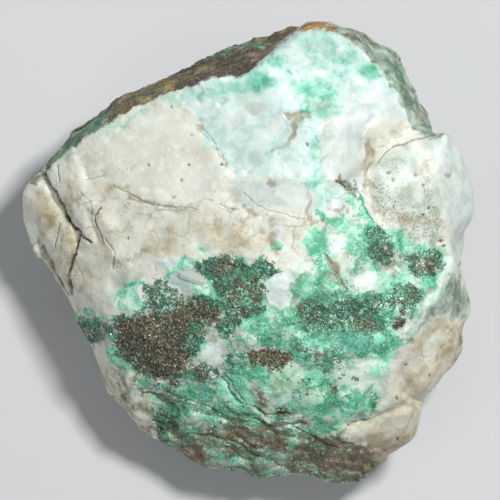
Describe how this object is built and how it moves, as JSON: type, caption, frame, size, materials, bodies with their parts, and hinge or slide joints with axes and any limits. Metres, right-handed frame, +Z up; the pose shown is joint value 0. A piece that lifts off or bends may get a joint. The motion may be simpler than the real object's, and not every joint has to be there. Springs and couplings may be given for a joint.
{
  "type": "malachite specimen",
  "caption": "Hand-sized natural lump of broken milky quartz with a ledged block, open cracks and gritty green malachite druse; it lies on a flat underside.",
  "frame": {"origin": "on the resting plane, under the middle of the lump's box; it lies within the flat resting face", "axes": "+Z up out of the resting face, +X from the west tip to the east block, +Y from the south foot to the north tip"},
  "size_m": [0.0908, 0.0924, 0.046],
  "materials": {
    "rock": "broken milky quartz, cream to glassy green-white, with mint to dark green malachite crust, brown gritty druse, rust stains and open dirty cracks"
  },
  "bodies": {
    "root": {"malachite_quartz_rock": "rock"}
  },
  "joints": []
}
